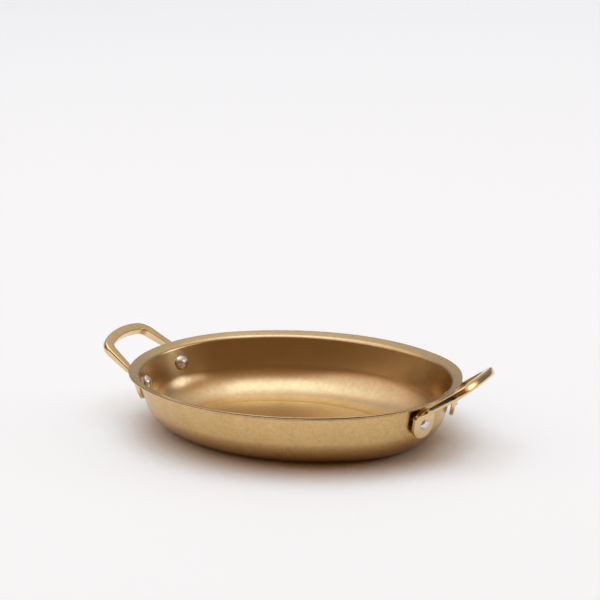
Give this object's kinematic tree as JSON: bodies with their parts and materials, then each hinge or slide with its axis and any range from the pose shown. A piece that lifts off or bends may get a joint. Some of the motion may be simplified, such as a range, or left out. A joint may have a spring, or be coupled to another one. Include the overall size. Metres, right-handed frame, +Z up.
{
  "type": "oval dish",
  "caption": "Shallow oval metal serving dish with a flared lip, a raised floor and riveted loop handles that rise from its ends.",
  "frame": {"origin": "centre of the dish at the height of the face it stands on", "axes": "+X along the dish towards the right handle in the picture, +Y across it away from the viewer, +Z up"},
  "size_m": [0.1984, 0.125, 0.0401],
  "materials": {
    "dish_body": "satin gold coating, finely scratched outside",
    "handle_left": "polished",
    "handle_right": "polished",
    "rivet": "polished"
  },
  "bodies": {
    "root": {"dish_body": "dish_body", "handle_left": "handle_left", "handle_right": "handle_right", "rivet_left_front": "rivet", "rivet_left_back": "rivet", "rivet_right_front": "rivet", "rivet_right_back": "rivet"}
  },
  "joints": []
}
